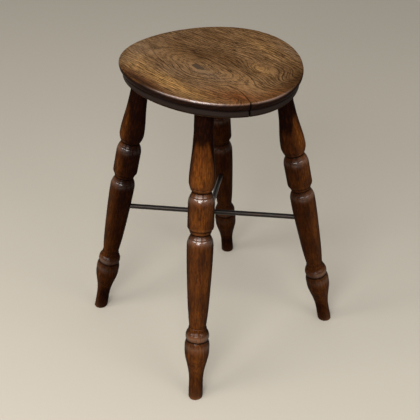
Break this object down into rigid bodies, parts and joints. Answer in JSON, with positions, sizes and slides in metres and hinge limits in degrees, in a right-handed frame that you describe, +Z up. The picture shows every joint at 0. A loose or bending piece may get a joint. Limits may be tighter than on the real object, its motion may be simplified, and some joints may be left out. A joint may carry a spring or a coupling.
{
  "type": "stool",
  "caption": "Round plank stool with splayed turned legs socketed into a cupped, moulded seat and crossing iron rods as stretchers.",
  "frame": {"origin": "on the floor, midway between the feet, under the middle of the object's box", "axes": "+Z up; the front leg stands on -Y and the right leg on +X"},
  "size_m": [0.5181, 0.5154, 0.5958],
  "materials": {
    "seat_elm": "worn wax over old stain",
    "patch_wood": "dark stained, worn",
    "leg_wood": "old brown varnish",
    "rod_iron": "blackened wrought bar, rubbed"
  },
  "bodies": {
    "root": {"seat": "seat_elm", "seat_patch": "patch_wood", "leg_front": "leg_wood", "leg_right": "leg_wood", "leg_back": "leg_wood", "leg_left": "leg_wood", "rod_side_to_side": "rod_iron", "rod_front_to_back": "rod_iron"}
  },
  "joints": []
}
